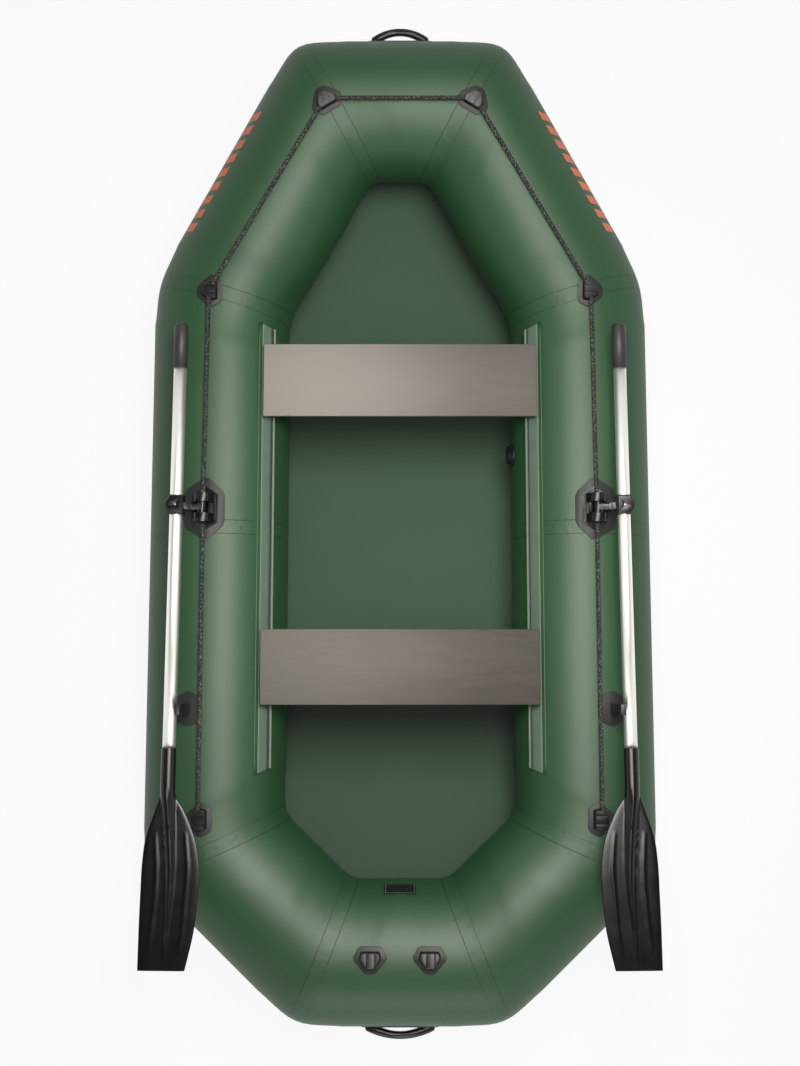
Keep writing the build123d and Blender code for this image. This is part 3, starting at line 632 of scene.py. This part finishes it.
for side, facing in (("port", -1), ("starboard", 1)):
    node_name = f"seat_rail_{side}"
    rail_bm = solid_mesh(node_name)
    low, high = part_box(node_name)
    middle_y = (low.y + high.y) / 2
    for vert in rail_bm.verts:
        longer = (abs(vert.co.x) - RAIL_OUTER_X) * END_SLANT
        vert.co.y += longer if vert.co.y > middle_y else -longer
    rail = finish_mesh(rail_bm, f"seat_rail_extrusion_{side}")
    rail.data.set_sharp_from_angle(angle=radians(30))
    rail.data.materials.append(rail_vinyl)
    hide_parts(node_name)
    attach(rail, "hull")
    axis_start = Vector((SIDE_X * facing, low.y - FLAP_OVERHANG, LEVEL_Z))
    axis_end = Vector((SIDE_X * facing, high.y + FLAP_OVERHANG, LEVEL_Z))
    flap_bm = turned_inward(laid_on_tube(
        axis_start, axis_end, (0, (axis_end - axis_start).length), FLAP_LEANING, FLAP_LIFT,
        rows=40, columns=4,
    ), 0, SIDE_X * facing)
    flap = finish_mesh(flap_bm, f"seat_rail_flap_{side}")
    edge = flap.modifiers.new("thickness", "SOLIDIFY")
    edge.thickness = FLAP_THICKNESS
    edge.offset = -1
    flap.data.materials.append(flap_fabric)
    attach(flap, "hull")
runner_vinyl = moulded(
    "extruded_vinyl_dark", paint("#202422"), paint("#2A2E2C"), roughness=0.45, grain=900,
    depth=0.0002,
)
clothe(["bow_seat_runners", "stern_seat_runners"], runner_vinyl, bevel=0.0004)


# ------------------------------------------------------------ seats
# Planks of 12 mm birch plywood with a brown-grey phenolic film pressed on both faces.
# Their edges are eased and painted, and the plies still show through a little.
PLY_PAIR = 0.0048          # metres from one dark ply to the next
BANDS_PER_SCALE = 3.3      # bands a metre in a wave texture of scale 1
film, film_tree, film_skin = new_material("film_faced_birch_plywood")
film_skin.inputs["IOR"].default_value = 1.4
film_place = add_node(film_tree, "ShaderNodeTexCoord").outputs["Object"]
stretched = add_node(film_tree, "ShaderNodeMapping", {"Vector": film_place, "Scale": (1.2, 9, 9)})
figure = add_node(film_tree, "ShaderNodeTexNoise", {
    "Vector": stretched.outputs[0], "Scale": 9, "Detail": 6, "Roughness": 0.6,
})
# The film's tone holds painted light and painted shade: each seat is painted lighter at its port
# end and darker to starboard, and the stern seat is painted darker than the bow seat.
seat_place = add_node(film_tree, "ShaderNodeSeparateXYZ", {"Vector": film_place})
painted_light_across_seat = add_node(film_tree, "ShaderNodeMapRange", {
    "Value": seat_place.outputs["X"], "From Min": -0.3, "From Max": 0.25,
}, interpolation_type="SMOOTHSTEP")
bow_film_painted_light = add_node(film_tree, "ShaderNodeMix", {
    "Factor": painted_light_across_seat.outputs[0], "A": paint("#A7A29B"), "B": paint("#67625C"),
}, data_type="RGBA")
stern_film_painted_shade = add_node(film_tree, "ShaderNodeMix", {
    "Factor": painted_light_across_seat.outputs[0], "A": paint("#7C7871"), "B": paint("#45403A"),
}, data_type="RGBA")
which_seat = add_node(film_tree, "ShaderNodeMath", {
    0: seat_place.outputs["Y"], 1: 0,
}, operation="GREATER_THAN")
sheet_tone_painted_light = add_node(film_tree, "ShaderNodeMix", {
    "Factor": which_seat.outputs[0], "A": stern_film_painted_shade.outputs[2], "B": bow_film_painted_light.outputs[2],
}, data_type="RGBA")
paler = add_node(film_tree, "ShaderNodeMapRange", {
    "Value": figure.outputs["Fac"], "To Min": 0.0, "To Max": 0.22,
})
film_tone = add_node(film_tree, "ShaderNodeMix", {
    "Factor": paler.outputs[0], "A": sheet_tone_painted_light.outputs[2], "B": paint("#A19A92"),
}, data_type="RGBA")
plies = add_node(film_tree, "ShaderNodeTexWave", {
    "Vector": film_place, "Scale": 1 / PLY_PAIR / BANDS_PER_SCALE, "Distortion": 0.6, "Detail": 2,
}, bands_direction="Z")
ply_tone = add_node(film_tree, "ShaderNodeMix", {
    "Factor": plies.outputs["Fac"], "A": paint("#57493D"), "B": paint("#8B7A68"),
}, data_type="RGBA")
facing_up = add_node(film_tree, "ShaderNodeSeparateXYZ", {
    "Vector": add_node(film_tree, "ShaderNodeNewGeometry").outputs["True Normal"],
})
flatness = add_node(film_tree, "ShaderNodeMath", {0: facing_up.outputs["Z"]}, operation="ABSOLUTE")
edge_share = add_node(film_tree, "ShaderNodeMapRange", {
    "Value": flatness.outputs[0], "From Min": 0.25, "From Max": 0.45, "To Min": 1, "To Max": 0,
})
film_mix = add_node(film_tree, "ShaderNodeMix", {
    "Factor": edge_share.outputs[0], "A": film_tone.outputs[2], "B": ply_tone.outputs[2],
}, data_type="RGBA")
film_rough = add_node(film_tree, "ShaderNodeMapRange", {
    "Value": figure.outputs["Fac"], "To Min": 0.62, "To Max": 0.7,
})
film_bump = add_node(film_tree, "ShaderNodeBump", {
    "Height": figure.outputs["Fac"], "Strength": 0.15, "Distance": 0.0003,
})
film_tree.links.new(film_mix.outputs[2], film_skin.inputs["Base Color"])
film_tree.links.new(film_rough.outputs[0], film_skin.inputs["Roughness"])
film_tree.links.new(film_bump.outputs["Normal"], film_skin.inputs["Normal"])
clothe(["bow_seat", "stern_seat"], film)


# ------------------------------------------------------------ oarlocks
# A flexible rubber patch is glued to the tube. On it stands a nylon moulding with two
# knuckles, whose hinge pin carries the arm, and the arm's eye carries the oar's clamp.
patch_rubber = moulded(
    "moulded_rubber_dark_grey", paint("#232425"), paint("#2B2C2D"), roughness=0.48, grain=700,
    depth=0.0002, ior=1.38,
)
lock_nylon = moulded(
    "moulded_nylon_black", paint("#0B0D0E"), paint("#121415"), roughness=0.27, grain=900,
    depth=0.0001, ior=1.42,
)
clothe(both_sides("oarlock_patch"), patch_rubber, bevel=0.0006)
clothe(both_sides("oarlock_arm", "oar_clamp"), lock_nylon, bevel=0.0009)
BARREL_X, LOCK_Y, BARREL_Z = 0.5036, 0.021, 0.39125
BARREL = Vector((BARREL_X, LOCK_Y, BARREL_Z))
PIN_CLEAR = 0.008
KNUCKLE_FACES = (0.0148, 0.0368)       # from the middle of the oarlock, fore and aft
KNUCKLE_SWELL = 1.35
for side, facing in (("port", -1), ("starboard", 1)):
    body_bm = solid_mesh(f"oarlock_body_{side}")
    for vert in body_bm.verts:
        outboard = vert.co.x * facing - BARREL.x
        on_knuckle = any(abs(abs(vert.co.y - LOCK_Y) - face) < 0.0006 for face in KNUCKLE_FACES)
        if on_knuckle and sqrt(outboard ** 2 + (vert.co.z - BARREL.z) ** 2) > PIN_CLEAR:
            vert.co.x = (BARREL.x + outboard * KNUCKLE_SWELL) * facing
    body = finish_mesh(body_bm, f"oarlock_moulding_{side}")
    ease_edges(body, 0.003, segments=4)
    body.data.materials.append(lock_nylon)
    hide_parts(f"oarlock_body_{side}")
    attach(body, "hull")


# ------------------------------------------------------------ oars
# A drawn aluminium tube, clear anodised, with a moulded grip on its fore end and a
# moulded blade whose socket takes its aft end.
shaft_alloy, alloy_tree, alloy = new_material("anodised_aluminium_tube")
alloy.inputs["Metallic"].default_value = 1
alloy.inputs["Base Color"].default_value = paint("#FBFAF4")
alloy_place = add_node(alloy_tree, "ShaderNodeTexCoord").outputs["Object"]
drawn_out = add_node(alloy_tree, "ShaderNodeMapping", {
    "Vector": alloy_place, "Scale": (1, 0.02, 1),
})
die_marks = add_node(alloy_tree, "ShaderNodeTexNoise", {
    "Vector": drawn_out.outputs[0], "Scale": 900, "Detail": 2,
})
alloy_rough = add_node(alloy_tree, "ShaderNodeMapRange", {
    "Value": die_marks.outputs["Fac"], "To Min": 0.36, "To Max": 0.46,
})
alloy_bump = add_node(alloy_tree, "ShaderNodeBump", {
    "Height": die_marks.outputs["Fac"], "Strength": 0.2, "Distance": 0.0002,
})
alloy_tree.links.new(alloy_rough.outputs[0], alloy.inputs["Roughness"])
alloy_tree.links.new(alloy_bump.outputs["Normal"], alloy.inputs["Normal"])
clothe(both_sides("oar_shaft"), shaft_alloy)
grip_plastic = moulded(
    "moulded_soft_grip_black", paint("#262625"), paint("#30302F"), roughness=0.5, grain=800,
    depth=0.0003,
)
clothe(both_sides("oar_grip"), grip_plastic)

# The blade's outline and its spine, in metres from the shaft's axis (outboard is
# plus) and aft of the socket's collar: station, inboard edge, outboard edge, and the
# spine's centre, half-width and height.
BLADE_STATIONS = (
    (0.000, -0.0183, 0.0183, 0.0000, 0.0183, 0.0183),
    (0.096, -0.0183, 0.0183, 0.0000, 0.0183, 0.0183),
    (0.118, -0.0210, 0.0195, -0.0010, 0.0182, 0.0180),
    (0.150, -0.0410, 0.0300, -0.0045, 0.0180, 0.0160),
    (0.194, -0.0610, 0.0445, -0.0085, 0.0175, 0.0130),
    (0.230, -0.0730, 0.0530, -0.0110, 0.0160, 0.0115),
    (0.288, -0.0815, 0.0580, -0.0140, 0.0140, 0.0095),
    (0.343, -0.0816, 0.0592, -0.0135, 0.0115, 0.0080),
    (0.418, -0.0755, 0.0605, -0.0085, 0.0080, 0.0060),
    (0.463, -0.0680, 0.0608, -0.0055, 0.0050, 0.0050),
    (0.521, -0.0550, 0.0610, 0.0000, 0.0020, 0.0030),
    (0.530, -0.0530, 0.0610, 0.0000, 0.0010, 0.0026),
)
BLADE_LENGTH = 0.530
BLADE_START = 0.602        # from the clamp's pin aft to the socket's collar
BLADE_PLATE = 0.0025
SOCKET_END, SOCKET_RUN_OUT = 0.096, 0.06
RIB_HEIGHT, RIB_HALF_WIDTH = 0.0022, 0.006
RIBS = (
    ((0.200, 0.027), (0.306, 0.021), (0.393, 0.026), (0.486, 0.036)),
    ((0.200, -0.046), (0.288, -0.054), (0.362, -0.050), (0.437, -0.045), (0.494, -0.037)),
)


def between(rows, station):
    """The row at a station, on a smooth curve through the rows."""
    station = min(max(station, rows[0][0]), rows[-1][0])
    place = next(i for i in range(len(rows) - 1) if station <= rows[i + 1][0])
    before, after = rows[place], rows[place + 1]
    earlier, later = rows[max(0, place - 1)], rows[min(len(rows) - 1, place + 2)]
    gap = after[0] - before[0]
    part = (station - before[0]) / gap
    row = []
    for past, here, there, beyond in zip(earlier[1:], before[1:], after[1:], later[1:]):
        leave = (there - past) / max(after[0] - earlier[0], 1e-6) * gap
        arrive = (beyond - here) / max(later[0] - before[0], 1e-6) * gap
        row.append(
            here * (2 * part**3 - 3 * part**2 + 1) + leave * (part**3 - 2 * part**2 + part)
            + there * (3 * part**2 - 2 * part**3) + arrive * (part**3 - part**2)
        )
    return row


CLAMP_REACH = 0.026        # from the arm's pin out to the shaft's axis
yaw = radians(0.55)        # of the stowed oar
pin = Vector((BARREL_X + 0.032, LOCK_Y, BARREL_Z + 0.041))
oar_out = Vector((cos(yaw), sin(yaw), 0))
oar_aft = Vector((sin(yaw), -cos(yaw), 0))
shaft_middle = pin + oar_out * CLAMP_REACH
blade_bm = bmesh.new()
bmesh.ops.create_grid(blade_bm, x_segments=56, y_segments=120, size=0.5)
for vert in blade_bm.verts:
    across = sin(vert.co.x * pi)
    aft = (vert.co.y + 0.5) * BLADE_LENGTH
    inner, outer, centre, half, ridge = between(BLADE_STATIONS, aft)
    flat_share = min(1, max(0, (aft - SOCKET_END) / SOCKET_RUN_OUT))
    offset = (inner + outer) / 2 + (outer - inner) / 2 * across
    rim_fall = (1 - abs(across) ** 10) ** 0.5 if abs(across) < 1 else 0
    plate = BLADE_PLATE * rim_fall
    reach = (offset - centre) / half
    spine = ridge * sqrt(max(0, 1 - reach * reach))
    # Aft of the socket the spine's outboard side is steep and its inboard side slopes.
    if reach < 0:
        sloped = ridge * max(0, 1 + reach * 0.92) ** 1.15
        spine += (sloped - spine) * flat_share
    rib = 0
    for path in RIBS:
        if path[0][0] < aft < path[-1][0]:
            fade = sin((aft - path[0][0]) / (path[-1][0] - path[0][0]) * pi) ** 0.5
            off_rib = offset - between(path, aft)[0]
            rib += RIB_HEIGHT * fade * max(0, 1 - (off_rib / RIB_HALF_WIDTH) ** 2)
    rise = (plate ** 6 + spine ** 6) ** (1 / 6) + rib * rim_fall
    if abs(across) > 0.9999:
        rise = 0
    vert.co = shaft_middle + oar_out * offset + oar_aft * (aft + BLADE_START) + Vector((0, 0, rise))
upper = blade_bm.verts[:] + blade_bm.edges[:] + blade_bm.faces[:]
under = bmesh.ops.duplicate(blade_bm, geom=upper)
for vert in new_verts(under):
    vert.co.z = 2 * pin.z - vert.co.z
bmesh.ops.remove_doubles(blade_bm, verts=blade_bm.verts, dist=1e-5)
open_ends = [e for e in blade_bm.edges if e.is_boundary]
bmesh.ops.holes_fill(blade_bm, edges=open_ends, sides=0)
bmesh.ops.recalc_face_normals(blade_bm, faces=blade_bm.faces)
blade_plastic = moulded(
    "moulded_polypropylene_black", paint("#090A0A"), paint("#0E0F0F"), roughness=0.24, grain=700,
    depth=0.00005, ior=1.46,
)
for side, facing in (("starboard", 1), ("port", -1)):
    copy = blade_bm.copy()
    if facing < 0:
        bmesh.ops.scale(copy, vec=(-1, 1, 1), verts=copy.verts)
        bmesh.ops.reverse_faces(copy, faces=copy.faces)
    blade = finish_mesh(copy, f"oar_blade_moulding_{side}")
    blade.data.set_sharp_from_angle(angle=radians(40))
    blade.data.materials.append(blade_plastic)
    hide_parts(f"oar_blade_{side}")
    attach(blade, f"oar_{side}")
blade_bm.free()

# A stainless screw sits in the recess on top of each clamp.
steel, steel_tree, steel_skin = new_material("turned_stainless_steel")
steel_skin.inputs["Metallic"].default_value = 1
steel_skin.inputs["Base Color"].default_value = paint("#C9C7C2")
turned = add_node(steel_tree, "ShaderNodeTexNoise", {
    "Vector": add_node(steel_tree, "ShaderNodeTexCoord").outputs["Object"], "Scale": 1500,
})
steel_rough = add_node(steel_tree, "ShaderNodeMapRange", {
    "Value": turned.outputs["Fac"], "To Min": 0.25, "To Max": 0.4,
})
steel_tree.links.new(steel_rough.outputs[0], steel_skin.inputs["Roughness"])
SCREW_HEAD = 0.0034
SCREW_RISE = 0.0022
RECESS = 0.003
RECESS_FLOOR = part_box("oar_clamp_starboard")[1].z - RECESS
for side, facing in (("starboard", 1), ("port", -1)):
    screw_bm = bmesh.new()
    place = Matrix.Translation((shaft_middle.x * facing, shaft_middle.y, RECESS_FLOOR))
    bmesh.ops.create_cone(
        screw_bm, cap_ends=True, segments=24, radius1=SCREW_HEAD, radius2=SCREW_HEAD * 0.8,
        depth=SCREW_RISE, matrix=place @ Matrix.Translation((0, 0, SCREW_RISE / 2)),
    )
    top = [f for f in screw_bm.faces if f.normal.z > 0.9]
    bmesh.ops.inset_region(screw_bm, faces=top, thickness=0.0012, depth=-0.001)
    screw = finish_mesh(screw_bm, f"clamp_screw_{side}")
    screw.data.set_sharp_from_angle(angle=radians(40))
    screw.data.materials.append(steel)
    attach(screw, f"oar_{side}")


# ------------------------------------------------------------ oar holders
# A rubber patch on each side tube, with a moulded hook that the stowed shaft snaps
# behind.
clothe(both_sides("holder_patch"), patch_rubber, bevel=0.0006)
hook_rubber = moulded(
    "moulded_rubber_black", paint("#141617"), paint("#1C1E1F"), roughness=0.38, grain=800,
    depth=0.0002, ior=1.42,
)
clothe(both_sides("holder_post", "holder_clip"), hook_rubber, bevel=0.0009)


# ------------------------------------------------------------ lifeline
# Three-strand laid rope, 11.6 mm over its strands, black with green-grey flecks, pulled
# straight from fitting to fitting and through both oarlocks, as the solids' thinner rope is.
ROPE = 0.0058         # radius over the strands
STRAND = 0.0031       # radius of a strand
LAY = 0.030           # length of one turn
LAY_STEPS = 10        # rings in one turn
rope_ends = {}
for side in ("bow", "port", "starboard"):
    rope_bm = bmesh.new()
    rope_bm.from_mesh(nodes[f"lifeline_{side}"].data)
    bmesh.ops.remove_doubles(rope_bm, verts=rope_bm.verts, dist=1e-5)
    loose = dict.fromkeys(rope_bm.verts)      # keeps their order, so that each run gives the same
    stretches = []
    while loose:
        grown = [next(iter(loose))]
        del loose[grown[0]]
        for vert in grown:
            for edge in vert.link_edges:
                other = edge.other_vert(vert)
                if other in loose:
                    del loose[other]
                    grown.append(other)
        places = [v.co.copy() for v in grown]
        middle = sum(places, Vector()) / len(places)
        far = max(places, key=lambda p: (p - middle).length)
        along = (far - middle).normalized()
        for _ in range(3):
            ahead = [p for p in places if (p - middle).dot(along) > 0]
            behind = [p for p in places if (p - middle).dot(along) <= 0]
            tip = sum(ahead, Vector()) / len(ahead)
            tail = sum(behind, Vector()) / len(behind)
            along = (tip - tail).normalized()
        stretches.append((tail, tip))
    rope_bm.free()
    rope_ends[side] = stretches

rope_yarn, yarn_tree, yarn = new_material("laid_polyester_rope")
yarn.inputs["Roughness"].default_value = 0.6
yarn_place = add_node(yarn_tree, "ShaderNodeTexCoord").outputs["Object"]
flecks = add_node(yarn_tree, "ShaderNodeTexNoise", {
    "Vector": yarn_place, "Scale": 210, "Detail": 1,
})
fleck_share = add_node(yarn_tree, "ShaderNodeMapRange", {
    "Value": flecks.outputs["Fac"], "From Min": 0.55, "From Max": 0.62,
})
yarn_tone = add_node(yarn_tree, "ShaderNodeMix", {
    "Factor": fleck_share.outputs[0], "A": paint("#0B0C0C"), "B": paint("#5F6458"),
}, data_type="RGBA")
yarn_bump = add_node(yarn_tree, "ShaderNodeBump", {
    "Height": flecks.outputs["Fac"], "Strength": 0.5, "Distance": 0.0006,
})
yarn_tree.links.new(yarn_tone.outputs[2], yarn.inputs["Base Color"])
yarn_tree.links.new(yarn_bump.outputs["Normal"], yarn.inputs["Normal"])

for side, stretches in rope_ends.items():
    rope_bm = bmesh.new()
    for tail, tip in stretches:
        length = (tip - tail).length
        rings = ceil(length / LAY * LAY_STEPS)
        turned = (tip - tail).to_track_quat("Z", "Y").to_matrix().to_4x4()
        for strand in range(3):
            begin = Matrix.Rotation(strand * 2 * pi / 3, 4, "Z") @ Matrix.Translation(
                (ROPE - STRAND, 0, 0),
            )
            strand_bm = bmesh.new()
            bmesh.ops.create_circle(
                strand_bm, segments=8, radius=STRAND,
                matrix=Matrix.Translation(tail) @ turned @ begin,
            )
            bmesh.ops.spin(
                strand_bm, geom=strand_bm.edges[:], cent=tail, axis=(tip - tail).normalized(),
                dvec=(tip - tail) / rings, angle=length / LAY * 2 * pi, steps=rings,
            )
            merge_into(rope_bm, strand_bm)
    bmesh.ops.recalc_face_normals(rope_bm, faces=rope_bm.faces)
    rope = finish_mesh(rope_bm, f"laid_rope_{side}")
    rope.data.materials.append(rope_yarn)
    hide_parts(f"lifeline_{side}")
    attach(rope, "hull")


# ------------------------------------------------------------ rope fittings
# Rubber patches with a domed cap in three lobes, which the rope passes through.
clothe(["rope_fitting_patches"], patch_rubber, bevel=0.0006)
cap_rubber = moulded(
    "moulded_rubber_fitting", paint("#131515"), paint("#1B1D1D"), roughness=0.3, grain=800,
    depth=0.0001, ior=1.42,
)
clothe(["rope_fitting_caps"], cap_rubber, bevel=0.0014)


# ------------------------------------------------------------ carrying handles
# Moulded hand grips on rubber patches, at the bow and at the stern.
clothe(["handle_patches"], patch_rubber, bevel=0.0006)
handle_plastic = moulded(
    "moulded_handle_charcoal", paint("#0F1313"), paint("#171B1B"), roughness=0.36, grain=900,
    depth=0.0002, ior=1.42,
)
clothe(["bow_handle", "stern_handle"], handle_plastic)


# ------------------------------------------------------------ valves
# A flange welded into the tube's inner wall, with a screw cap.
clothe(["bow_chamber_valve", "stern_chamber_valve"], handle_plastic)

# The cap's tether is a small moulded ring that lies against the wall under the valve.
valve_low, valve_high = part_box("bow_chamber_valve")
RING = 0.009
RING_WIRE = 0.0011
ring_bm = bmesh.new()
ring_middle = Vector(
    (valve_low.x - RING * 0.6, (valve_low.y + valve_high.y) / 2 - 0.004, valve_low.z + 0.02),
)
ring_edge = Matrix.Translation(ring_middle + Vector((RING, 0, 0))) @ Matrix.Rotation(pi / 2, 4, "X")
bmesh.ops.create_circle(ring_bm, segments=10, radius=RING_WIRE, matrix=ring_edge)
bmesh.ops.spin(
    ring_bm, geom=ring_bm.edges[:], cent=ring_middle, axis=(0, 0, 1), angle=2 * pi, steps=32,
    use_merge=True,
)
bmesh.ops.recalc_face_normals(ring_bm, faces=ring_bm.faces)
ring = finish_mesh(ring_bm, "valve_tether_ring")
ring.data.materials.append(handle_plastic)
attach(ring, "hull")
